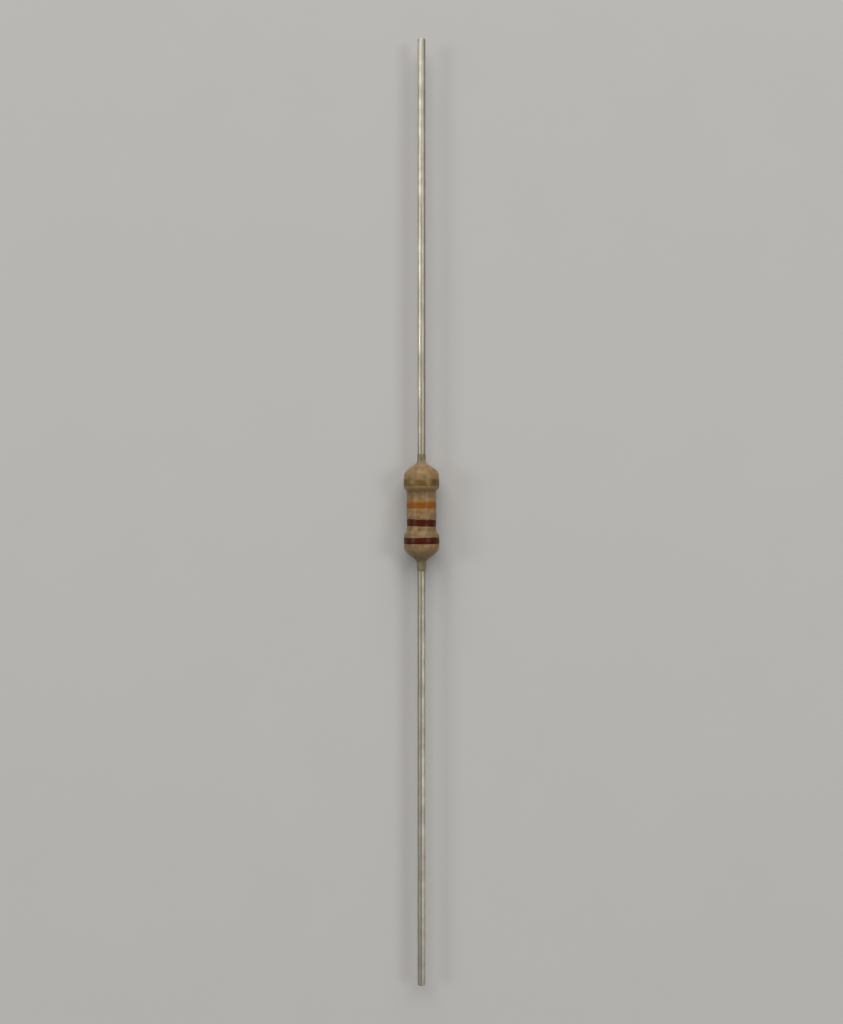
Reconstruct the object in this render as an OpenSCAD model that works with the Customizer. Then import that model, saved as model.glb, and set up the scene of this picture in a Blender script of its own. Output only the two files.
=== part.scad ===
// Axial-lead carbon film resistor of the quarter-watt size.
// A ceramic rod carries a carbon film with a spiral cut. A pressed steel cap grips each end of the rod,
// a tinned copper wire is butt-welded to each cap, and one coat of lacquer covers all but the wires.
// Four rings of paint on the lacquer give the value.
// The rod's middle is the origin. The axis runs along X, with the tolerance ring on the +X side.

/* [Rod and film] */
// Length of the ceramic rod
core_length = 4.7; // [4.4:0.05:8]
// Diameter of the ceramic rod
core_d = 1.6; // [1.3:0.05:2.4]
// Thickness of the film on the rod
film_t = 0.02; // [0.015:0.005:0.04]
// Turns of the spiral cut through the film
cut_turns = 5; // [2:1:8]
// Width of the cut
cut_w = 0.12; // [0.06:0.01:0.16]
// Uncut film between the mouth of a cap and the cut
cut_margin = 0.3; // [0.15:0.05:0.5]

/* [End caps] */
// Sheet thickness of a cap
cap_wall = 0.17; // [0.12:0.01:0.22]
// Outside depth of a cap along the axis
cap_depth = 1.1; // [0.9:0.02:1.34]
// Inner radius of the bend between a cap's side and its end
cap_inner_bend_r = 0.07; // [0.04:0.01:0.12]
// Chamfer round the mouth of a cap
cap_mouth_chamfer = 0.03; // [0.01:0.01:0.06]
// Clearance of the rod's chamfer inside the bend of a cap
chamfer_clearance = 0.02; // [0.01:0.01:0.05]

/* [Lead wires] */
// Diameter of a wire
lead_d = 0.5; // [0.4:0.05:0.65]
// Length of a wire from its cap to its tip
lead_length = 27.5; // [15:0.5:40]
// How far the head that the weld upsets stands out round the wire
weld_head_t = 0.08; // [0.05:0.01:0.2]
// Length of the rim of that head
weld_head_length = 0.08; // [0.04:0.01:0.12]
// Length of the cone from the head down to the wire
weld_cone = 0.14; // [0.08:0.02:0.2]
// Thickness of the tin that the weld's heat draws to the wire next to the head
weld_tin_t = 0.02; // [0.01:0.005:0.03]
// Chamfer round the cut tip of a wire
lead_tip_chamfer = 0.05; // [0.02:0.01:0.08]

/* [Lacquer over the rod and caps] */
// Thickness over the film, at the waist
waist_coat_t = 0.11; // [0.07:0.01:0.15]
// Thickness over the side of a cap
cap_coat_t = 0.13; // [0.09:0.01:0.16]
// Start of the fall to the waist on the first-ring side, back over the cap from its mouth
first_fall_start = 0.07; // [0:0.01:0.2]
// Length of that fall
first_fall_length = 0.31; // [0.25:0.01:0.45]
// Start of the fall to the waist on the tolerance side, back over the cap from its mouth
tolerance_fall_start = 0.16; // [0:0.01:0.18]
// Length of that fall
tolerance_fall_length = 0.3; // [0.28:0.01:0.45]

/* [Lacquer nose on the first-ring side] */
// Where the nose starts to round off, back from the cap's end
first_nose_start = 0.45; // [0.3:0.01:0.5]
// How far the nose reaches past the cap's end
first_nose_reach = 0.83; // [0.7:0.01:1]
// Fullness of its shoulder
first_nose_fullness = 3.1; // [2.5:0.1:3.6]
// Slimness of its tail
first_nose_slimness = 3.9; // [2.5:0.1:4.2]
// Length of the collar of lacquer on the wire past the nose
first_collar_length = 0.46; // [0.3:0.01:0.8]
// Thickness of that collar
first_collar_t = 0.045; // [0.02:0.005:0.06]

/* [Lacquer nose on the tolerance side] */
// Where the nose starts to round off, back from the cap's end
tolerance_nose_start = 0.4; // [0.3:0.01:0.5]
// How far the nose reaches past the cap's end
tolerance_nose_reach = 0.83; // [0.7:0.01:1]
// Fullness of its shoulder
tolerance_nose_fullness = 3.4; // [2.5:0.1:3.6]
// Slimness of its tail
tolerance_nose_slimness = 3.9; // [2.5:0.1:4.2]
// Length of the collar of lacquer on the wire past the nose
tolerance_collar_length = 0.35; // [0.3:0.01:0.8]
// Thickness of that collar
tolerance_collar_t = 0.02; // [0.02:0.005:0.06]

/* [Colour rings] */
// Thickness of the paint
paint_t = 0.02; // [0.01:0.005:0.04]
// Width of a ring
ring_w = 0.42; // [0.3:0.01:0.55]
// Distance between the centres of the first three rings
ring_pitch = 1.13; // [1:0.01:1.3]
// Centre of the first ring, back over its cap from the mouth
first_ring_inset = 0.4; // [0.3:0.01:0.5]
// Centre of the tolerance ring, back over its cap from the mouth
tolerance_ring_inset = 0.45; // [0.3:0.01:0.5]

/* [Hidden] */
$fn = 96;

// The two sides of the part along X.
FIRST = -1;
TOLERANCE = 1;

// Steps in each curve of an outline, and flats round the film.
nose_steps = 14;
fall_steps = 8;
bend_steps = 6;
film_flats = 48;

// How far the edge of a collar and of a ring runs out, as a multiple of the thickness, and what is left of a
// collar's thickness where its edge begins.
collar_edge_run = 3;
collar_edge_share = 0.85;
ring_edge_run = 1.5;

// Radii, from the rod outwards.
core_r = core_d / 2;
film_r = core_r + film_t;
cap_r = film_r + cap_wall;
lead_r = lead_d / 2;
weld_head_r = lead_r + weld_head_t;
waist_r = film_r + waist_coat_t;
bulge_r = cap_r + cap_coat_t;

// Distances along X from the rod's middle, the same on both sides.
core_end = core_length / 2;
cap_end = core_end + cap_wall;
cap_mouth = cap_end - cap_depth;
lead_tip = cap_end + lead_length;

// Bend outside a cap, and the rod's chamfer that clears the bend inside it.
cap_bend_r = cap_inner_bend_r + cap_wall;
core_chamfer = cap_inner_bend_r + chamfer_clearance;

// Outlines. An outline is a list of points [place along X, radius].
function steps(from, to, n) = [for (i = [0 : n]) from + (to - from) * i / n];
function backwards(v) = [for (i = [len(v) - 1 : -1 : 0]) v[i]];
function on_side(s, outline) = s == TOLERANCE ? outline : backwards([for (p = outline) [-p[0], p[1]]]);
function sorted(v) = len(v) < 2 ? v : let (pivot = v[floor(len(v) / 2)])
    concat(sorted([for (x = v) if (x < pivot) x]), [pivot], sorted([for (x = v) if (x > pivot) x]));

// A quarter bend of radius r, from the end face at x_end out to the side at r_side.
function bend(r, x_end, r_side) =
    [for (a = steps(0, 90, bend_steps)) [x_end - r + r * cos(a), r_side - r + r * sin(a)]];

// The solid that a closed outline sweeps about the X axis.
module turned(outline) {
    rotate([0, 90, 0]) rotate_extrude() polygon([for (p = outline) [p[1], p[0]]]);
}

// The ceramic rod, with a chamfer at each end that clears the bend inside the cap.
module ceramic_core() {
    half = [[core_end, 0], [core_end, core_r - core_chamfer], [core_end - core_chamfer, core_r]];
    color("white") turned(concat(half, on_side(FIRST, half)));
}

// The carbon film: a thin tube on the rod, with a cut that winds round it from cap to cap and turns the film
// into one long ribbon. The real film is under a micrometre thick, and film_t stands for it.
//
// The tube is drawn with flats. Columns of points run along X, and flat j lies between columns j and j + 1.
// The cut moves one pitch along X in each turn, so between two columns there are cut_turns gaps and
// cut_turns + 1 strips of film. Column 0 carries the edges of one gap more, because both blunt ends of
// the cut stand on it. Past the last column, each strip but the outer two meets the next strip at column 0.
film_end = core_end - core_chamfer;
film_inner_r = core_r / cos(180 / film_flats);
cut_span = 2 * (cap_mouth - cut_margin) - cut_w;
cut_pitch = cut_span / cut_turns;
last_flat = film_flats - 1;

OUTER = 0;
INNER = 1;

function gaps(column) = column == 0 ? cut_turns + 1 : cut_turns;
function gap_x(column, gap) = -cut_span / 2 + cut_pitch * (gap + column / film_flats);
function marks(column) = concat([-film_end],
    [for (g = [0 : gaps(column) - 1]) each [gap_x(column, g) - cut_w / 2, gap_x(column, g) + cut_w / 2]],
    [film_end]);
function column_points(column, r) =
    [for (x = marks(column)) [x, r * cos(360 * column / film_flats), r * sin(360 * column / film_flats)]];

// The number of a point, from its column, its place in the column and its layer.
first_column_marks = 2 * gaps(0) + 2;
other_column_marks = 2 * gaps(1) + 2;
layer_points = first_column_marks + last_flat * other_column_marks;
function point_no(column, mark, layer) = let (c = column % film_flats)
    layer * layer_points + (c == 0 ? 0 : first_column_marks + (c - 1) * other_column_marks) + mark;

// The first and last mark of strip k on the near and the far column of flat j.
function near_from(j, k) = 2 * k;
function near_to(j, k) = j == 0 && k == cut_turns ? 2 * k + 3 : 2 * k + 1;
function far_from(j, k) = j == last_flat && k > 0 ? 2 * k + 2 : 2 * k;
function far_to(j, k) = j == last_flat ? 2 * k + 3 : 2 * k + 1;

// The flat of a strip as a ring of point numbers, the same ring seen from the other side, and the thin
// wall between two marks. A ring starts on the column with the fewer marks.
function plate(j, k, layer) = let (
    near = [for (m = [near_from(j, k) : near_to(j, k)]) point_no(j, m, layer)],
    far = [for (m = [far_to(j, k) : -1 : far_from(j, k)]) point_no(j + 1, m, layer)])
    j == 0 ? concat(far, near) : concat(near, far);
function flipped(face) = [for (i = [0 : len(face) - 1]) face[(len(face) - i) % len(face)]];
function wall(column_a, mark_a, column_b, mark_b) = [
    point_no(column_a, mark_a, INNER), point_no(column_b, mark_b, INNER),
    point_no(column_b, mark_b, OUTER), point_no(column_a, mark_a, OUTER)];

module carbon_film() {
    points = [for (r = [film_r, film_inner_r]) for (c = [0 : last_flat]) each column_points(c, r)];
    strips = [for (j = [0 : last_flat]) for (k = [0 : cut_turns]) each [
        plate(j, k, OUTER),
        flipped(plate(j, k, INNER)),
        wall(j + 1, far_from(j, k), j, near_from(j, k)),
        wall(j, near_to(j, k), j + 1, far_to(j, k))]];
    blunt_ends = [wall(0, 1, 0, 2), wall(0, 2 * cut_turns + 2, 0, 2 * cut_turns + 1)];
    color("dimgray") polyhedron(points, concat(strips, blunt_ends));
}

// The outside of a cap's side, from the end of its bend to its mouth.
cap_side = [[cap_mouth + cap_mouth_chamfer, cap_r], [cap_mouth, cap_r - cap_mouth_chamfer],
            [cap_mouth, film_r]];

// A steel cup pressed on the end of the rod, over the film.
module end_cap(s) {
    color("silver") turned(on_side(s, concat(
        [[cap_end, 0]], bend(cap_bend_r, cap_end, cap_r), cap_side,
        backwards(bend(cap_inner_bend_r, core_end, film_r)), [[core_end, 0]])));
}

// Shape of the lacquer on one side, as distances from the rod's middle.
function fall_start(s) = cap_mouth + (s == FIRST ? first_fall_start : tolerance_fall_start);
function fall_end(s) = fall_start(s) - (s == FIRST ? first_fall_length : tolerance_fall_length);
function nose_start(s) = cap_end - (s == FIRST ? first_nose_start : tolerance_nose_start);
function nose_tip(s) = cap_end + (s == FIRST ? first_nose_reach : tolerance_nose_reach);
function nose_fullness(s) = s == FIRST ? first_nose_fullness : tolerance_nose_fullness;
function nose_slimness(s) = s == FIRST ? first_nose_slimness : tolerance_nose_slimness;
function collar_t(s) = s == FIRST ? first_collar_t : tolerance_collar_t;
function collar_end(s) = nose_tip(s) + (s == FIRST ? first_collar_length : tolerance_collar_length);

// The wire from its cap to the end of the lacquer's collar: the weld's head, and tin that runs out there.
function weld_line(s) = [
    [cap_end, weld_head_r], [cap_end + weld_head_length, weld_head_r],
    [cap_end + weld_head_length + weld_cone, lead_r + weld_tin_t], [collar_end(s), lead_r]];

// A tinned wire, upset into a head where it is butt-welded to the cap, and cut off at the tip.
module lead_wire(s) {
    color("gainsboro") turned(on_side(s, concat([[cap_end, 0]], weld_line(s), [
        [lead_tip - lead_tip_chamfer, lead_r], [lead_tip, lead_r - lead_tip_chamfer], [lead_tip, 0]])));
}

// Radius of the lacquer at a distance from the rod's middle: waist, fall, bulge over the cap and nose.
// The fall is half a cosine wave. The nose rounds off slowly and ends in a slender tail along the wire.
function fall_r(t) = waist_r + (bulge_r - waist_r) * (1 - cos(180 * t)) / 2;
function nose_r(t, s) = let (tip_r = lead_r + collar_t(s))
    tip_r + (bulge_r - tip_r) * pow(1 - pow(t, nose_fullness(s)), nose_slimness(s));
function coat_side_r(distance, s) =
    distance > nose_start(s) ? nose_r((distance - nose_start(s)) / (nose_tip(s) - nose_start(s)), s)
    : distance > fall_start(s) ? bulge_r
    : distance > fall_end(s) ? fall_r((distance - fall_end(s)) / (fall_start(s) - fall_end(s)))
    : waist_r;
function coat_r(x) = coat_side_r(abs(x), x < 0 ? FIRST : TOLERANCE);

// Places of the rings, from the first digit to the tolerance.
first_ring_x = FIRST * (cap_mouth + first_ring_inset);
ring_xs = [first_ring_x, first_ring_x + ring_pitch, first_ring_x + 2 * ring_pitch,
           TOLERANCE * (cap_mouth + tolerance_ring_inset)];
ring_edges = [for (x = ring_xs) each [x - ring_w / 2, x + ring_w / 2]];
ring_bevel = ring_edge_run * paint_t;

// Places of the outline's points: the rings' edges, and the steps of the curves that stay clear of them.
curve_places = [for (s = [FIRST, TOLERANCE]) each s * concat(
    steps(nose_start(s), nose_tip(s), nose_steps), steps(fall_end(s), fall_start(s), fall_steps))];
function is_clear(x) = min([for (edge = ring_edges) abs(x - edge)]) > ring_bevel / 2;
coat_places = sorted(concat(ring_edges, [for (x = curve_places) if (is_clear(x)) x]));

// The lacquer: one skin over the film, both caps, the welds and the first stretch of each wire, where it
// thins out to nothing.
function collar_edge(s) =
    [collar_end(s) - collar_edge_run * collar_t(s), lead_r + collar_edge_share * collar_t(s)];
function covered_line(s) = concat(backwards(weld_line(s)), bend(cap_bend_r, cap_end, cap_r), cap_side);

module lacquer_coat() {
    outside = [for (x = coat_places) [x, coat_r(x)]];
    color("tan") turned(concat(
        on_side(FIRST, [collar_edge(FIRST)]), outside, [collar_edge(TOLERANCE)],
        covered_line(TOLERANCE), on_side(FIRST, covered_line(FIRST))));
}

// A ring of paint that follows the lacquer under it and thins out at both edges.
module ring(i, paint) {
    from = ring_xs[i] - ring_w / 2;
    to = ring_xs[i] + ring_w / 2;
    under = [for (x = coat_places) if (x >= from && x <= to) x];
    over = concat([from + ring_bevel],
        [for (x = under) if (x > from + ring_bevel && x < to - ring_bevel) x], [to - ring_bevel]);
    color(paint) turned(concat(
        [for (x = under) [x, coat_r(x)]], [for (x = backwards(over)) [x, coat_r(x) + paint_t]]));
}

ceramic_core();
carbon_film();
end_cap(FIRST);  // end_cap_first
end_cap(TOLERANCE);  // end_cap_tolerance
lead_wire(FIRST);  // lead_wire_first
lead_wire(TOLERANCE);  // lead_wire_tolerance
lacquer_coat();
ring(0, "maroon");  // ring_first_digit
ring(1, "maroon");  // ring_second_digit
ring(2, "darkorange");  // ring_multiplier
ring(3, "darkgoldenrod");  // ring_tolerance
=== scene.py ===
import math

import bpy
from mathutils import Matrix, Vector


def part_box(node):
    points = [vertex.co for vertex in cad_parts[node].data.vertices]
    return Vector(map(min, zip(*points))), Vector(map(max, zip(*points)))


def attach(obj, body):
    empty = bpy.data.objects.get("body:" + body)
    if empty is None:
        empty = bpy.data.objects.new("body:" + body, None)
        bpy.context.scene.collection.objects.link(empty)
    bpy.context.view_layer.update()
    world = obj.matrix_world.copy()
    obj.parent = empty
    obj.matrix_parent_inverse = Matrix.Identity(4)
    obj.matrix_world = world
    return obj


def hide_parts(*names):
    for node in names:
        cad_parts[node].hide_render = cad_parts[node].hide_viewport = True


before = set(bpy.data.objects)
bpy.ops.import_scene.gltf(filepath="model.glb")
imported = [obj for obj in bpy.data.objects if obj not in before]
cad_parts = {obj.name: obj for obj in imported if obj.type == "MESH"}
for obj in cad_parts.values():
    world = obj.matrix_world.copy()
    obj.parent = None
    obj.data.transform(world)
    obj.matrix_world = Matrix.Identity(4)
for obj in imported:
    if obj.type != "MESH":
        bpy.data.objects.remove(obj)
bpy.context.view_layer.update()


# The ceramic rod: a stick of steatite, extruded, cut to length and fired, that carries the film.
# The caps and the lacquer hide it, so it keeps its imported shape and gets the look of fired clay.
MM = 0.001  # one millimetre in the metres that Blender works in
POWDER_GRAIN = 0.12 * MM  # the real grain is about a tenth of this, too fine to show


def linear(code):
    """The linear colour of an sRGB hex code."""
    parts = [int(code[i : i + 2], 16) / 255 for i in (1, 3, 5)]
    return tuple(p / 12.92 if p <= 0.04045 else ((p + 0.055) / 1.055) ** 2.4 for p in parts) + (1.0,)


def add(tree, kind, inputs=None, stops=None, **settings):
    """Adds a node: its settings, its colour stops, and for each input a value or the socket that feeds it."""
    node = tree.nodes.new("ShaderNode" + kind)
    for name, value in settings.items():
        setattr(node, name, value)
    for number, (place, code) in enumerate(stops or []):
        ramp = node.color_ramp.elements
        stop = ramp[number] if number < 2 else ramp.new(place)  # a new ramp has two stops
        stop.position = place
        stop.color = linear(code)
    for name, value in (inputs or {}).items():
        if isinstance(value, bpy.types.NodeSocket):
            tree.links.new(value, node.inputs[name])
        else:
            node.inputs[name].default_value = value
    return node


def blank(name):
    """A new material with an empty node tree, and the tree."""
    material = bpy.data.materials.new(name)
    material.use_nodes = True
    material.node_tree.nodes.clear()
    return material, material.node_tree


# Fired steatite: off-white and matt, with the grain of the pressed powder.
fired_steatite, tree = blank("fired_steatite")
place = add(tree, "TexCoord")
grain = add(tree, "TexNoise", {"Vector": place.outputs["Object"], "Scale": 1 / POWDER_GRAIN, "Detail": 4.0})
colour = add(tree, "ValToRGB", {"Fac": grain.outputs["Fac"]}, [(0.3, "#DAD5C8"), (0.7, "#EEEBE2")])
relief = add(tree, "Bump", {"Height": grain.outputs["Fac"], "Strength": 0.4, "Distance": 0.01 * MM})
shader = add(tree, "BsdfPrincipled", {
    "Base Color": colour.outputs["Color"], "Roughness": 0.75, "IOR": 1.55,
    "Normal": relief.outputs["Normal"],
})
add(tree, "OutputMaterial", {"Surface": shader.outputs["BSDF"]})


def dress(node_name, material):
    """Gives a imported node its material."""
    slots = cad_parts[node_name].data.materials
    slots.clear()
    slots.append(material)


dress("ceramic_core", fired_steatite)


# The carbon film: carbon cracked from hot gas on the rod, with a spiral cut ground through it.
# It is hidden too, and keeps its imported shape: a dark ribbon with the grey gleam of pencil lead.
WHEEL_MARK_LENGTH = 0.4 * MM
WHEEL_MARK_WIDTH = 0.03 * MM  # the real marks are about a third of this


def stretched(along, across):
    """The pattern scale that makes a cloud that long along the axis, and that wide across it."""
    return (1 / along, 1 / across, 1 / across)


# Cracked carbon: nearly black and half glossy, with fine marks that the grinding wheel left along the cut,
# which runs nearly square to the axis.
cracked_carbon, tree = blank("cracked_carbon")
place = add(tree, "TexCoord")
ground = add(tree, "Mapping", {
    "Vector": place.outputs["Object"], "Scale": stretched(WHEEL_MARK_WIDTH, WHEEL_MARK_LENGTH),
})
marks = add(tree, "TexNoise", {"Vector": ground.outputs["Vector"], "Scale": 1.0, "Detail": 3.0})
colour = add(tree, "ValToRGB", {"Fac": marks.outputs["Fac"]}, [(0.35, "#262628"), (0.7, "#3C3C40")])
gleam = add(tree, "MapRange", {"Value": marks.outputs["Fac"], "To Min": 0.3, "To Max": 0.5})
relief = add(tree, "Bump", {"Height": marks.outputs["Fac"], "Strength": 0.3, "Distance": 0.004 * MM})
shader = add(tree, "BsdfPrincipled", {
    "Base Color": colour.outputs["Color"], "Roughness": gleam.outputs["Result"], "IOR": 1.8,
    "Normal": relief.outputs["Normal"],
})
add(tree, "OutputMaterial", {"Surface": shader.outputs["BSDF"]})
dress("carbon_film", cracked_carbon)


# The end caps: cups drawn from thin steel strip, tinned, and pressed on both ends of the rod.
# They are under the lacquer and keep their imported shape, with draw marks along their sides.
CUP_MARK_LENGTH = 0.6 * MM
CUP_MARK_WIDTH = 0.05 * MM  # the real marks are about a third of this

# Tinned steel: a pale warm metal, half bright, with the marks of the drawing die along the cup.
tinned_steel, tree = blank("tinned_steel")
place = add(tree, "TexCoord")
die_drawn = add(tree, "Mapping", {
    "Vector": place.outputs["Object"], "Scale": stretched(CUP_MARK_LENGTH, CUP_MARK_WIDTH),
})
marks = add(tree, "TexNoise", {"Vector": die_drawn.outputs["Vector"], "Scale": 1.0, "Detail": 5.0})
colour = add(tree, "ValToRGB", {"Fac": marks.outputs["Fac"]}, [(0.3, "#B9B6AD"), (0.7, "#D2CFC7")])
gleam = add(tree, "MapRange", {"Value": marks.outputs["Fac"], "To Min": 0.28, "To Max": 0.45})
relief = add(tree, "Bump", {"Height": marks.outputs["Fac"], "Strength": 0.3, "Distance": 0.005 * MM})
shader = add(tree, "BsdfPrincipled", {
    "Base Color": colour.outputs["Color"], "Metallic": 1.0, "Roughness": gleam.outputs["Result"],
    "Normal": relief.outputs["Normal"],
})
add(tree, "OutputMaterial", {"Surface": shader.outputs["BSDF"]})
dress("end_cap_first", tinned_steel)
dress("end_cap_tolerance", tinned_steel)


# The lead wires: hard-drawn copper, dipped in tin, upset into a small head where each is butt-welded
# to its cap, and sheared off square at the tip, where the copper shows.
WIRE_R = 0.25 * MM
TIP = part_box("lead_wire_tolerance")[1].x
WIRE_SIDES = 36
# The weld's head and the tin drawn to it: place along the axis and radius, in millimetres.
WELD = ((2.52, 0.33), (2.56, 0.333), (2.60, 0.33), (2.66, 0.29), (2.74, 0.27))
SHAFT_STEP = 0.25  # the shaft has a ring of points at each quarter of a millimetre
SHAFT_STEPS = range(13, 120)  # from 3.25 mm to 29.75 mm
# The sheared tip with its burr rounded off: way back from the tip and radius, in millimetres.
SHEARED = ((0.06, 0.25), (0.035, 0.246), (0.008, 0.226), (0.0, 0.2), (0.0, 0.12))
WAVY_FROM = 3.0 * MM  # the drawn wire is slightly uneven from here
WAVY_TO = TIP - 0.2 * MM
SHARP_ANGLE = math.radians(40)


def drawn(name, stations, sides):
    """A skin round the X axis, extruded ring by ring through (place, radius) stations, left in edit mode."""
    x, radius = stations[0]
    bpy.ops.object.select_all(action="DESELECT")
    bpy.ops.mesh.primitive_circle_add(
        vertices=sides, radius=radius, location=(x, 0, 0), rotation=(0, math.radians(90), 0)
    )
    piece = bpy.context.object
    piece.name = piece.data.name = name
    bpy.ops.object.transform_apply(location=True, rotation=True, scale=True)
    bpy.ops.object.mode_set(mode="EDIT")
    bpy.ops.mesh.select_all(action="SELECT")
    for next_x, next_radius in stations[1:]:
        bpy.ops.mesh.extrude_edges_move(TRANSFORM_OT_translate={"value": (next_x - x, 0, 0)})
        grow = next_radius / radius
        bpy.ops.transform.resize(value=(1, grow, grow), center_override=(next_x, 0, 0))
        x, radius = next_x, next_radius
    return piece


def close_ends():
    """Fills the open rings of the skin in edit mode, turns its faces outwards and leaves edit mode."""
    bpy.ops.mesh.select_mode(type="EDGE")
    bpy.ops.mesh.select_all(action="DESELECT")
    bpy.ops.mesh.select_non_manifold(
        extend=False, use_multi_face=False, use_non_contiguous=False, use_verts=False
    )
    bpy.ops.mesh.edge_face_add()
    bpy.ops.mesh.select_all(action="SELECT")
    bpy.ops.mesh.normals_make_consistent(inside=False)
    bpy.ops.object.mode_set(mode="OBJECT")


def weighted(piece, name, weight):
    """The name of a new vertex group, whose weight is a function of each point."""
    group = piece.vertex_groups.new(name=name)
    for vertex in piece.data.vertices:
        group.add([vertex.index], weight(vertex.co), "REPLACE")
    return name


def unevenness(piece, size, height, group, direction="NORMAL"):
    """Waves of that size and height in a piece's skin, made real where the vertex group has its weight."""
    waves = bpy.data.textures.new(f"{piece.name}_waves", "CLOUDS")
    waves.noise_scale = size
    waves.noise_depth = 1
    lift = piece.modifiers.new("lift", "DISPLACE")
    lift.texture = waves
    lift.texture_coords = "LOCAL"
    lift.strength = height
    lift.direction = direction
    lift.vertex_group = group
    bpy.context.view_layer.objects.active = piece
    bpy.ops.object.modifier_apply(modifier="lift")


def subdivided(piece):
    """One round of subdivision on a piece, made real."""
    finer = piece.modifiers.new("finer", "SUBSURF")
    finer.levels = finer.render_levels = 1
    bpy.context.view_layer.objects.active = piece
    bpy.ops.object.modifier_apply(modifier="finer")


def smooth_shaded(piece):
    """Soft shading on a piece, up to a sharp corner."""
    bpy.ops.object.select_all(action="DESELECT")
    piece.select_set(True)
    bpy.context.view_layer.objects.active = piece
    bpy.ops.object.shade_smooth_by_angle(angle=SHARP_ANGLE)


DRAW_LINE_LENGTH = 1.8 * MM
DRAW_LINE_WIDTH = 0.07 * MM  # the real draw lines are about a quarter of this
SHADE_SIDE_LENGTH = 6 * MM
SHADE_SIDE_WIDTH = 0.3 * MM
TIN_POOL = 0.9 * MM
PIT = 0.07 * MM
# The painted shade lies where X times Y is small, which puts it on opposite sides of the two wires.
SHADE_SIDE_WANDER, SHADE_SIDE_FAINT, SHADE_SIDE_FULL = 1.6 * MM * MM, 2.4 * MM * MM, 0.8 * MM * MM
SMEAR_FROM, SMEAR_TO = 3.8 * MM, 4.5 * MM
STAIN_FROM, STAIN_TO = 4.5 * MM, 17 * MM
# A Mix node has sockets of the same name for each kind of value. These are the ones for colours.
SHARE, UNDER, OVER, MIXED = 0, 6, 7, 2

# Hot-dipped tin on copper: a warm grey metal, half dull, with draw lines along the wire, dark pits and specks
# where the tin is thin, a painted shade down one side of each wire, a tan smear next to the lacquer, and bare
# copper on the sheared face.
tinned_copper, tree = blank("tinned_copper")
place = add(tree, "TexCoord")
along = add(tree, "Mapping", {
    "Vector": place.outputs["Object"], "Scale": stretched(DRAW_LINE_LENGTH, DRAW_LINE_WIDTH),
})
lines = add(tree, "TexNoise", {"Vector": along.outputs["Vector"], "Scale": 1.0, "Detail": 4.0})
pools = add(tree, "TexNoise", {"Vector": place.outputs["Object"], "Scale": 1 / TIN_POOL, "Detail": 5.0})
tin = add(
    tree, "ValToRGB", {"Fac": pools.outputs["Fac"]}, [(0.3, "#AFAB9D"), (0.5, "#C5C1B3"), (0.72, "#DAD6CA")]
)
# Painted shade: one side of each wire is painted darker along its length, as the dark side of its reflection;
# streaks along the wire make the border of that shade wander.
axes = add(tree, "SeparateXYZ", {"Vector": place.outputs["Object"]})
shade_side_along = add(tree, "Mapping", {
    "Vector": place.outputs["Object"], "Scale": stretched(SHADE_SIDE_LENGTH, SHADE_SIDE_WIDTH),
})
streaks = add(tree, "TexNoise", {"Vector": shade_side_along.outputs["Vector"], "Scale": 1.0, "Detail": 2.0})
lean = add(tree, "Math", {0: axes.outputs["X"], 1: axes.outputs["Y"]}, operation="MULTIPLY")
wandering = add(tree, "Math", {
    0: streaks.outputs["Fac"], 1: SHADE_SIDE_WANDER, 2: lean.outputs["Value"],
}, operation="MULTIPLY_ADD")
painted_shade_side = add(tree, "MapRange", {
    "Value": wandering.outputs["Value"], "From Min": SHADE_SIDE_FAINT, "From Max": SHADE_SIDE_FULL, "To Max": 0.65,
}, interpolation_type="SMOOTHSTEP")
# painted shade: the darker side of each wire
tin_with_painted_shade = add(tree, "Mix", {
    SHARE: painted_shade_side.outputs["Result"], UNDER: tin.outputs["Color"], OVER: linear("#858073"),
}, data_type="RGBA")
specks = add(tree, "TexNoise", {"Vector": place.outputs["Object"], "Scale": 1 / PIT, "Detail": 1.0})
pitted = add(tree, "MapRange", {
    "Value": specks.outputs["Fac"], "From Min": 0.7, "From Max": 0.78, "To Max": 0.8,
})
dulled = add(tree, "Mix", {
    SHARE: pitted.outputs["Result"], UNDER: tin_with_painted_shade.outputs[MIXED], OVER: linear("#7C786A"),
}, data_type="RGBA")
reach = add(tree, "Math", {0: axes.outputs["X"]}, operation="ABSOLUTE")
smear = add(tree, "MapRange", {
    "Value": reach.outputs["Value"], "From Min": SMEAR_FROM, "From Max": SMEAR_TO,
    "To Min": 0.45, "To Max": 0.0,
}, interpolation_type="SMOOTHSTEP")
# Farther out, the heat of the weld leaves a faint stain on the tin.
stain = add(tree, "MapRange", {
    "Value": reach.outputs["Value"], "From Min": STAIN_FROM, "From Max": STAIN_TO,
    "To Min": 0.35, "To Max": 0.0,
})
both = add(tree, "Math", {
    0: smear.outputs["Result"], 1: stain.outputs["Result"],
}, operation="ADD", use_clamp=True)
stained = add(tree, "Mix", {
    SHARE: both.outputs["Value"], UNDER: dulled.outputs[MIXED], OVER: linear("#8F8975"),
}, data_type="RGBA")
face = add(tree, "MapRange", {
    "Value": reach.outputs["Value"], "From Min": TIP - 0.012 * MM, "From Max": TIP - 0.004 * MM,
})
bared = add(tree, "Mix", {
    SHARE: face.outputs["Result"], UNDER: stained.outputs[MIXED], OVER: linear("#C98A63"),
}, data_type="RGBA")
gleam = add(tree, "MapRange", {
    "Value": lines.outputs["Fac"], "From Min": 0.3, "From Max": 0.7, "To Min": 0.36, "To Max": 0.5,
})
dull = add(tree, "Math", {
    0: pitted.outputs["Result"], 1: 0.25, 2: gleam.outputs["Result"],
}, operation="MULTIPLY_ADD")
hills = add(tree, "Math", {
    0: pitted.outputs["Result"], 1: -0.45, 2: lines.outputs["Fac"],
}, operation="MULTIPLY_ADD")
relief = add(tree, "Bump", {"Height": hills.outputs["Value"], "Strength": 0.5, "Distance": 0.012 * MM})
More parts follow.
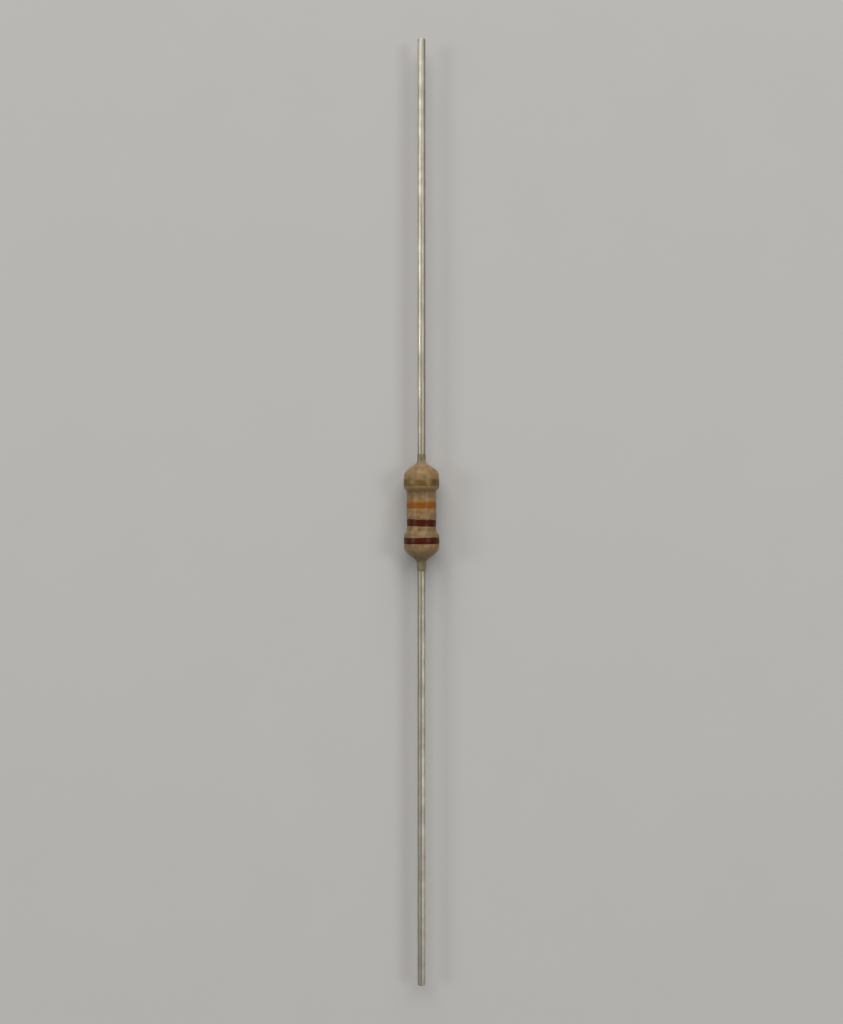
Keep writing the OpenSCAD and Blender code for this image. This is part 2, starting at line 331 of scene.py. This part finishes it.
shader = add(tree, "BsdfPrincipled", {
    "Base Color": bared.outputs[MIXED], "Metallic": 1.0, "Roughness": dull.outputs["Value"],
    "Normal": relief.outputs["Normal"],
})
add(tree, "OutputMaterial", {"Surface": shader.outputs["BSDF"]})

for side, end in ((-1, "first"), (1, "tolerance")):
    stations = [(x * MM, radius * MM) for x, radius in WELD]
    stations += [(step * SHAFT_STEP * MM, WIRE_R) for step in SHAFT_STEPS]
    stations += [(TIP - back * MM, radius * MM) for back, radius in SHEARED]
    wire = drawn(f"wire_{end}", [(side * x, radius) for x, radius in stations], WIRE_SIDES)
    close_ends()
    subdivided(wire)
    smooth_shaded(wire)
    shaft = weighted(wire, "shaft", lambda p: 1.0 if WAVY_FROM < abs(p.x) < WAVY_TO else 0.0)
    unevenness(wire, size=0.9 * MM, height=0.012 * MM, group=shaft)
    wire.data.materials.append(tinned_copper)
    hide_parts(f"lead_wire_{end}")
    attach(wire, "root")


# The lacquer coat: tan phenolic lacquer, rolled on wet over the film, both caps and the welds, and baked.
# It draws in at the waist, bulges over the caps, and runs out along each wire as a thin collar.
COAT_SIDES = 72
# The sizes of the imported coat, in millimetres. The first ring's side is -1, the tolerance ring's side 1.
WAIST_R = 0.93
BULGE_R = 1.12
TIN_R = 0.25
FILM_R = 0.82
NOSES = {-1: (2.07, 3.35, 3.1, 3.9), 1: (2.12, 3.35, 3.4, 3.9)}  # start, tip, fullness, slimness
COLLARS = {-1: (3.81, 0.045), 1: (3.70, 0.020)}  # end and thickness
FALLS = {-1: (1.18, 1.49), 1: (1.28, 1.58)}  # end and start of the fall to the waist
# A low swell and a shallow dip on the waist: place, reach and height.
SWELLS = ((-0.18, 0.22, 0.02), (-0.78, 0.20, -0.02))
# Each collar feathers out to a rim just under the tin: way back and height in thicknesses of the collar.
RIM_R = 0.236
FEATHER = ((1.6, 0.3), (3.2, 0.62), (5.5, 0.88))
SKIN_FROM, SKIN_STEP, SKIN_STEPS = -3.45, 0.05, 140
# Inside, the coat follows what it covers: tin, weld head, cap end and bend, cap side and mouth, film.
COVERED = (
    (2.74, 0.27), (2.60, 0.33), (2.52, 0.33), (2.52, 0.75), (2.488, 0.87), (2.40, 0.958),
    (2.28, 0.99), (1.85, 0.99), (1.45, 0.99), (1.42, 0.96), (1.42, FILM_R), (0.7, FILM_R),
)
SKIN_DEPTH = 0.03  # a point deeper than this under the outline belongs to the inside
WAVES_FADE, WAVES_END = 0.3, 3.3  # the waves of the skin fade out over the collar's root
RUN_OUT_FROM, RUN_OUT_LENGTH = 3.45, 0.2


def clamped(value):
    """A value kept between 0 and 1."""
    return min(1.0, max(0.0, value))


def coat_radius(x):
    """The outside of the lacquer at a place along the axis, both in millimetres."""
    side = -1 if x < 0 else 1
    reach = abs(x)
    start, tip, fullness, slimness = NOSES[side]
    low, high = FALLS[side]
    if reach > start:
        t = clamped((reach - start) / (tip - start))
        thin = TIN_R + COLLARS[side][1]
        return thin + (BULGE_R - thin) * (1 - t**fullness) ** slimness
    t = clamped((reach - low) / (high - low))
    swell = sum(height * math.exp(-(((x - middle) / wide) ** 2)) for middle, wide, height in SWELLS)
    return WAIST_R + (BULGE_R - WAIST_R) * (0.5 - 0.5 * math.cos(math.pi * t)) + swell


outside = []
for side, (collar_end, thickness) in COLLARS.items():
    outside.append((side * collar_end, RIM_R))
    outside += [(side * (collar_end - back * thickness), TIN_R + up * thickness) for back, up in FEATHER]
skin_places = [SKIN_FROM + SKIN_STEP * step for step in range(SKIN_STEPS)]
outside += [(x, coat_radius(x)) for x in skin_places]
outside = sorted((x * MM, radius * MM) for x, radius in outside)
inside = [(x * MM, radius * MM) for x, radius in COVERED] + [(0, FILM_R * MM)]
inside += [(-x * MM, radius * MM) for x, radius in reversed(COVERED)]

coat = drawn("coat", outside + inside + outside[:1], COAT_SIDES)
bpy.ops.mesh.select_all(action="SELECT")
bpy.ops.mesh.remove_doubles(threshold=0.001 * MM)
bpy.ops.mesh.normals_make_consistent(inside=False)
bpy.ops.object.mode_set(mode="OBJECT")


def on_the_skin(point):
    """1 on the outside of the lacquer, falling to 0 along its collars, and 0 on its inside."""
    depth = coat_radius(point.x / MM) - math.hypot(point.y, point.z) / MM
    return 0.0 if depth > SKIN_DEPTH else clamped((WAVES_END - abs(point.x / MM)) / WAVES_FADE)


subdivided(coat)
smooth_shaded(coat)
skin = weighted(coat, "skin", on_the_skin)
unevenness(coat, size=1.3 * MM, height=0.045 * MM, group=skin)
unevenness(coat, size=0.3 * MM, height=0.012 * MM, group=skin)
# The collars end in a wavy line, where the lacquer ran out along the tin.
run_out = weighted(coat, "run_out", lambda p: clamped((abs(p.x / MM) - RUN_OUT_FROM) / RUN_OUT_LENGTH))
unevenness(coat, size=0.4 * MM, height=0.14 * MM, group=run_out, direction="X")

LACQUER_CLOUD = 0.45 * MM
FILLER_SPECK = 0.06 * MM  # the real specks are about a third of this
ORANGE_PEEL = 0.14 * MM
COLLAR_STREAK_LENGTH = 0.5 * MM
COLLAR_STREAK_WIDTH = 0.12 * MM
RAGGED = 0.12 * MM  # how far the clouds shift the borders between the colours
COLLAR_FAINT, COLLAR_FULL = 2.98 * MM, 3.42 * MM
FIRST_NOSE_FAINT, FIRST_NOSE_FULL = -2.1 * MM, -2.8 * MM

# Baked phenolic lacquer: tan, half glossy and mottled, with fine specks of filler and a faint orange peel.
# Where it is thin, what lies under it changes its colour, most of all on the collars, where the tin shows.
baked_lacquer, tree = blank("baked_lacquer")
place = add(tree, "TexCoord")
clouds = add(tree, "TexNoise", {
    "Vector": place.outputs["Object"], "Scale": 1 / LACQUER_CLOUD, "Detail": 5.0, "Roughness": 0.6,
})
tan = add(
    tree, "ValToRGB", {"Fac": clouds.outputs["Fac"]}, [(0.34, "#6A5333"), (0.5, "#7B6342"), (0.66, "#8E7451")]
)
axes = add(tree, "SeparateXYZ", {"Vector": place.outputs["Object"]})
ragged = add(tree, "Math", {
    0: clouds.outputs["Fac"], 1: RAGGED, 2: axes.outputs["X"],
}, operation="MULTIPLY_ADD")
reach = add(tree, "Math", {0: ragged.outputs["Value"]}, operation="ABSOLUTE")
filler = add(tree, "TexNoise", {"Vector": place.outputs["Object"], "Scale": 1 / FILLER_SPECK, "Detail": 2.0})
specks = add(tree, "MapRange", {
    "Value": filler.outputs["Fac"], "From Min": 0.56, "From Max": 0.7, "To Max": 0.5,
})
speckled = add(tree, "Mix", {
    SHARE: specks.outputs["Result"], UNDER: tan.outputs["Color"], OVER: linear("#604A28"),
}, data_type="RGBA")
# The lacquer is thinner over the first cap's end, which greys it.
first_nose = add(tree, "MapRange", {
    "Value": axes.outputs["X"], "From Min": FIRST_NOSE_FAINT, "From Max": FIRST_NOSE_FULL, "To Max": 0.28,
}, interpolation_type="SMOOTHSTEP")
greyed = add(tree, "Mix", {
    SHARE: first_nose.outputs["Result"], UNDER: speckled.outputs[MIXED], OVER: linear("#7F7458"),
}, data_type="RGBA")
# On the collars it is streaked with grey.
drawn_out = add(tree, "Mapping", {
    "Vector": place.outputs["Object"], "Scale": stretched(COLLAR_STREAK_LENGTH, COLLAR_STREAK_WIDTH),
})
streaks = add(tree, "TexNoise", {"Vector": drawn_out.outputs["Vector"], "Scale": 1.0, "Detail": 3.0})
show_through = add(
    tree, "ValToRGB", {"Fac": streaks.outputs["Fac"]}, [(0.3, "#5F5437"), (0.7, "#837B66")]
)
collar = add(tree, "MapRange", {
    "Value": reach.outputs["Value"], "From Min": COLLAR_FAINT, "From Max": COLLAR_FULL,
}, interpolation_type="SMOOTHSTEP")
thin = add(tree, "Mix", {
    SHARE: collar.outputs["Result"], UNDER: greyed.outputs[MIXED], OVER: show_through.outputs["Color"],
}, data_type="RGBA")
# It is paler where it is drawn thin over the bend of each cap, which is also a painted highlight where the
# shoulder turns to the light; a painted shadow darkens it at the foot of each ledge; a painted highlight
# pales it over the tolerance cap's mouth; and it is tinged where the orange paint bled beside its ring.
tints_and_painted_light = (  # measured along, middle, way off it where the tint ends and where it is full, share, colour
    # painted highlight on the bend of each cap, where the lacquer is also drawn thin
    (reach, 2.42, 0.32, 0.05, 0.25, "#A08455"),
    # painted shadow at the foot of each ledge
    (reach, 1.33, 0.20, 0.02, 0.30, "#4E3A1C"),
    # painted highlight over the tolerance cap's mouth
    (ragged, 1.52, 0.14, 0.02, 0.40, "#A3875C"),
    (ragged, 0.49, 0.50, 0.20, 0.60, "#936A33"),
)
tinted_and_painted_light = thin
for measured, middle, faint, full, share, code in tints_and_painted_light:
    off = add(tree, "Math", {0: measured.outputs["Value"], 1: middle * MM}, operation="SUBTRACT")
    away = add(tree, "Math", {0: off.outputs["Value"]}, operation="ABSOLUTE")
    near = add(tree, "MapRange", {
        "Value": away.outputs["Value"], "From Min": faint * MM, "From Max": full * MM, "To Max": share,
    }, interpolation_type="SMOOTHSTEP")
    tinted_and_painted_light = add(tree, "Mix", {
        SHARE: near.outputs["Result"], UNDER: tinted_and_painted_light.outputs[MIXED], OVER: linear(code),
    }, data_type="RGBA")
peel = add(tree, "TexNoise", {"Vector": place.outputs["Object"], "Scale": 1 / ORANGE_PEEL, "Detail": 3.0})
gleam = add(tree, "MapRange", {
    "Value": clouds.outputs["Fac"], "From Min": 0.3, "From Max": 0.7, "To Min": 0.27, "To Max": 0.37,
})
relief = add(tree, "Bump", {"Height": peel.outputs["Fac"], "Strength": 0.45, "Distance": 0.02 * MM})
shader = add(tree, "BsdfPrincipled", {
    "Base Color": tinted_and_painted_light.outputs[MIXED], "Roughness": gleam.outputs["Result"], "IOR": 1.5,
    "Specular IOR Level": 0.18, "Normal": relief.outputs["Normal"],
})
add(tree, "OutputMaterial", {"Surface": shader.outputs["BSDF"]})
coat.data.materials.append(baked_lacquer)
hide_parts("lacquer_coat")
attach(coat, "root")


# The colour rings: bands of paint rolled on the baked lacquer by a wheel, a little wavy at their edges.
# Two dark red rings give the first digits, orange the multiplier, and gold the tolerance.
PAINT = 0.02 * MM
OUTWARD = 0.5  # three quarters of the paint stand out of the lacquer's skin
EDGE_SHARE = 0.2  # the edges' share of the thickness in the middle
WALL = 0.06 * MM  # a face that lies deeper than this belongs to the inside of the coat


def painted(name, middle, width, slant):
    """A band of paint: the coat's own skin, cut out at two planes, given uneven edges and a thickness."""
    bpy.ops.object.select_all(action="DESELECT")
    coat.select_set(True)
    bpy.context.view_layer.objects.active = coat
    bpy.ops.object.duplicate()
    band = bpy.context.object
    band.name = band.data.name = name
    band.data.materials.clear()
    band.vertex_groups.clear()
    # The copy is a piece of its own, and forgets what the coat replaces and rides on.
    for key in [key for key in band.keys() if key.startswith("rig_")]:
        del band[key]
    bpy.ops.object.mode_set(mode="EDIT")
    for edge_x, keep_high in ((middle - width / 2, True), (middle + width / 2, False)):
        bpy.ops.mesh.select_all(action="SELECT")
        bpy.ops.mesh.bisect(
            plane_co=(edge_x, 0, 0), plane_no=(1, *slant), threshold=0.0001 * MM,
            clear_inner=keep_high, clear_outer=not keep_high,
        )
    bpy.ops.mesh.select_mode(type="FACE")
    bpy.ops.mesh.select_all(action="DESELECT")
    bpy.ops.object.mode_set(mode="OBJECT")
    for face in band.data.polygons:
        face.select = math.hypot(face.center.y, face.center.z) < coat_radius(middle / MM) * MM - WALL
    bpy.ops.object.mode_set(mode="EDIT")
    bpy.ops.mesh.delete(type="FACE")
    bpy.ops.object.mode_set(mode="OBJECT")
    # The edge's weight rises from nothing at a quarter of the width to all of it at the edge.
    rim = weighted(band, "rim", lambda p: clamped(abs(p.x - middle) / width * 4 - 1))
    unevenness(band, size=0.5 * MM, height=0.048 * MM, group=rim, direction="X")
    film = band.modifiers.new("film", "SOLIDIFY")
    film.thickness = PAINT
    film.offset = OUTWARD
    film.vertex_group = rim
    film.invert_vertex_group = True
    film.thickness_vertex_group = EDGE_SHARE
    bpy.context.view_layer.objects.active = band
    bpy.ops.object.modifier_apply(modifier="film")
    smooth_shaded(band)
    return band


RED_CLOUD = 0.25 * MM
ROLLED_RELIEF = 0.012 * MM

# Rolled enamel: a deep red brown, glossier than the lacquer, slightly clouded.
red_enamel, tree = blank("red_enamel")
place = add(tree, "TexCoord")
clouds = add(tree, "TexNoise", {"Vector": place.outputs["Object"], "Scale": 1 / RED_CLOUD, "Detail": 4.0})
red = add(tree, "ValToRGB", {"Fac": clouds.outputs["Fac"]}, [(0.3, "#381002"), (0.7, "#461702")])
gleam = add(tree, "MapRange", {
    "Value": clouds.outputs["Fac"], "From Min": 0.3, "From Max": 0.7, "To Min": 0.28, "To Max": 0.38,
})
relief = add(tree, "Bump", {"Height": clouds.outputs["Fac"], "Strength": 0.3, "Distance": ROLLED_RELIEF})
shader = add(tree, "BsdfPrincipled", {
    "Base Color": red.outputs["Color"], "Roughness": gleam.outputs["Result"], "IOR": 1.5,
    "Specular IOR Level": 0.13, "Normal": relief.outputs["Normal"],
})
add(tree, "OutputMaterial", {"Surface": shader.outputs["BSDF"]})

ORANGE_CLOUD = 0.3 * MM
ORANGE_MIDDLE = 0.42 * MM
ORANGE_RAGGED = 0.16 * MM
ORANGE_FADES, ORANGE_FADED = 0.18 * MM, 0.34 * MM

# Thin orange enamel: it covers in the middle and lets the tan through at its edges and in patches.
orange_enamel, tree = blank("orange_enamel")
place = add(tree, "TexCoord")
clouds = add(tree, "TexNoise", {"Vector": place.outputs["Object"], "Scale": 1 / ORANGE_CLOUD, "Detail": 4.0})
axes = add(tree, "SeparateXYZ", {"Vector": place.outputs["Object"]})
off_middle = add(tree, "Math", {0: axes.outputs["X"], 1: ORANGE_MIDDLE}, operation="SUBTRACT")
distance = add(tree, "Math", {0: off_middle.outputs["Value"]}, operation="ABSOLUTE")
ragged = add(tree, "Math", {
    0: clouds.outputs["Fac"], 1: ORANGE_RAGGED, 2: distance.outputs["Value"],
}, operation="MULTIPLY_ADD")
fade = add(tree, "MapRange", {
    "Value": ragged.outputs["Value"], "From Min": ORANGE_FADES, "From Max": ORANGE_FADED, "To Max": 0.75,
})
covering = add(tree, "ValToRGB", {"Fac": clouds.outputs["Fac"]}, [(0.3, "#743D04"), (0.7, "#86500C")])
see_through = add(tree, "Mix", {
    SHARE: fade.outputs["Result"], UNDER: covering.outputs["Color"], OVER: linear("#80602C"),
}, data_type="RGBA")
relief = add(tree, "Bump", {"Height": clouds.outputs["Fac"], "Strength": 0.3, "Distance": ROLLED_RELIEF})
shader = add(tree, "BsdfPrincipled", {
    "Base Color": see_through.outputs[MIXED], "Roughness": 0.36, "IOR": 1.5,
    "Specular IOR Level": 0.18, "Normal": relief.outputs["Normal"],
})
add(tree, "OutputMaterial", {"Surface": shader.outputs["BSDF"]})

FLAKE = 0.03 * MM  # the largest of the real flakes, because the fine ones don't show
GOLD_CLOUD = 0.35 * MM
GOLD_MIDDLE = 1.855  # in millimetres
GOLD_RAGGED = 0.1 * MM
GOLD_FADES, GOLD_FADED = 0.23 * MM, 0.29 * MM

# Gold bronze paint: fine metal flakes in a clear binder, brown from the side and glinting from above.
gold_bronze, tree = blank("gold_bronze")
place = add(tree, "TexCoord")
flakes = add(tree, "TexVoronoi", {"Vector": place.outputs["Object"], "Scale": 1 / FLAKE})
glint = add(tree, "SeparateColor", {"Color": flakes.outputs["Color"]})
clouds = add(tree, "TexNoise", {"Vector": place.outputs["Object"], "Scale": 1 / GOLD_CLOUD, "Detail": 3.0})
worn = add(tree, "Math", {
    0: glint.outputs["Red"], 1: 0.35, 2: clouds.outputs["Fac"],
}, operation="MULTIPLY_ADD")
gold = add(tree, "ValToRGB", {"Fac": worn.outputs["Value"]}, [(0.35, "#563F18"), (0.95, "#775B2C")])
# At the band's edges the flakes thin out over the tan lacquer.
axes = add(tree, "SeparateXYZ", {"Vector": place.outputs["Object"]})
off_middle = add(tree, "Math", {0: axes.outputs["X"], 1: GOLD_MIDDLE * MM}, operation="SUBTRACT")
distance = add(tree, "Math", {0: off_middle.outputs["Value"]}, operation="ABSOLUTE")
ragged = add(tree, "Math", {
    0: clouds.outputs["Fac"], 1: GOLD_RAGGED, 2: distance.outputs["Value"],
}, operation="MULTIPLY_ADD")
thinned = add(tree, "MapRange", {
    "Value": ragged.outputs["Value"], "From Min": GOLD_FADES, "From Max": GOLD_FADED, "To Max": 0.8,
})
washed = add(tree, "Mix", {
    SHARE: thinned.outputs["Result"], UNDER: gold.outputs["Color"], OVER: linear("#7C6236"),
}, data_type="RGBA")
metal = add(tree, "MapRange", {"Value": thinned.outputs["Result"], "To Min": 0.6, "To Max": 0.1})
gleam = add(tree, "MapRange", {"Value": glint.outputs["Green"], "To Min": 0.38, "To Max": 0.54})
relief = add(tree, "Bump", {"Height": glint.outputs["Red"], "Strength": 0.25, "Distance": 0.01 * MM})
shader = add(tree, "BsdfPrincipled", {
    "Base Color": washed.outputs[MIXED], "Metallic": metal.outputs["Result"],
    "Roughness": gleam.outputs["Result"], "Coat Weight": 0.2, "Coat Roughness": 0.35,
    "Normal": relief.outputs["Normal"],
})
add(tree, "OutputMaterial", {"Surface": shader.outputs["BSDF"]})

rings = (  # name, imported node, middle and width in millimetres, slant, paint, slot
    ("band_first_digit", "ring_first_digit", -1.825, 0.40, (0.01, 0.0), red_enamel, "red_paint"),
    ("band_second_digit", "ring_second_digit", -0.685, 0.44, (-0.03, 0.01), red_enamel, "red_paint"),
    ("band_multiplier", "ring_multiplier", 0.43, 0.44, (0.0, -0.02), orange_enamel, "orange_paint"),
    ("band_tolerance", "ring_tolerance", GOLD_MIDDLE, 0.44, (0.015, 0.0), gold_bronze, "gold_paint"),
)
for name, node_name, middle, width, slant, paint, paint_slot in rings:
    band = painted(name, middle * MM, width * MM, slant)
    band.data.materials.append(paint)
    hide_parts(node_name)
    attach(band, "root")


# The table: a sheet of plain pale paper under the resistor, which lies on its two bulges.
# It is made of pressed fibres and lies flat, well past the edges of the picture.
FLOOR_Z = -1.145 * MM
SHEET = 1.0
FIBRE_CLOUD = 6 * MM
bpy.ops.object.select_all(action="DESELECT")
bpy.ops.mesh.primitive_plane_add(size=SHEET, location=(0, 0, FLOOR_Z))
paper = bpy.context.object
paper.name = "paper"

# Uncoated paper: pale warm grey and matt, with the faint clouds of its fibres.
plain_paper, tree = blank("plain_paper")
place = add(tree, "TexCoord")
fibres = add(tree, "TexNoise", {"Vector": place.outputs["Object"], "Scale": 1 / FIBRE_CLOUD, "Detail": 6.0})
pale = add(tree, "ValToRGB", {"Fac": fibres.outputs["Fac"]}, [(0.3, "#B4B2AF"), (0.7, "#B5B3B0")])
shader = add(tree, "BsdfPrincipled", {
    "Base Color": pale.outputs["Color"], "Roughness": 0.9, "Specular IOR Level": 0.1,
})
add(tree, "OutputMaterial", {"Surface": shader.outputs["BSDF"]})
paper.data.materials.append(plain_paper)


# The light: a wide soft panel above and beyond the tolerance end, and a weaker one at each side.
# All three face the resistor.
panels = (  # name, place, size and power
    ("panel_beyond", (0.55, 0.0, 0.38), 0.75, 5.9),
    ("panel_left", (0.05, 0.53, 0.37), 0.18, 0.75),
    ("panel_right", (0.05, -0.45, 0.47), 0.18, 0.75),
)
for name, stand, size, power in panels:
    bpy.ops.object.light_add(type="AREA", location=stand)
    panel = bpy.context.object
    panel.name = name
    panel.data.shape = "SQUARE"
    panel.data.size = size
    panel.data.energy = power
    panel.visible_camera = False
    panel.rotation_mode = "QUATERNION"
    panel.rotation_quaternion = panel.location.to_track_quat("Z", "Y")

# The room: even and pale. The camera sees it at its full paleness, and so does what metal or gloss mirrors.
# As light on the parts it is weaker.
ROOM_SEEN, ROOM_LIGHT = 0.9, 0.54
room = bpy.data.worlds.new("room")
room.use_nodes = True
tree = room.node_tree
tree.nodes.clear()
path = add(tree, "LightPath")
mirrored = add(tree, "Math", {
    0: path.outputs["Is Glossy Ray"], 1: path.outputs["Is Transmission Ray"],
}, operation="MAXIMUM")
seen = add(tree, "Math", {
    0: path.outputs["Is Camera Ray"], 1: mirrored.outputs["Value"],
}, operation="MAXIMUM")
level = add(tree, "MapRange", {"Value": seen.outputs["Value"], "To Min": ROOM_LIGHT, "To Max": ROOM_SEEN})
glow = add(tree, "Background", {"Color": linear("#B4B3B0"), "Strength": level.outputs["Result"]})
add(tree, "OutputWorld", {"Surface": glow.outputs["Background"]})
bpy.context.scene.world = room


# The camera looks straight down, as the photograph was taken, with the tolerance end at the top.
# Its height above the axis gives the picture the photograph's upright frame round the whole resistor.
LENS = 50.0
SENSOR = 36.0  # Blender's own, which covers the picture's long side
VIEW_HEIGHT = 65.0 * MM  # what the 1024 pixels of the picture's height take in
bpy.ops.object.camera_add(location=(0, 0, VIEW_HEIGHT * LENS / SENSOR), rotation=(0, 0, math.radians(-90)))
camera = bpy.context.object
camera.data.lens = LENS
camera.data.clip_start = MM
camera.data.clip_end = 10.0
bpy.context.scene.camera = camera
bpy.context.scene.view_settings.view_transform = "Standard"
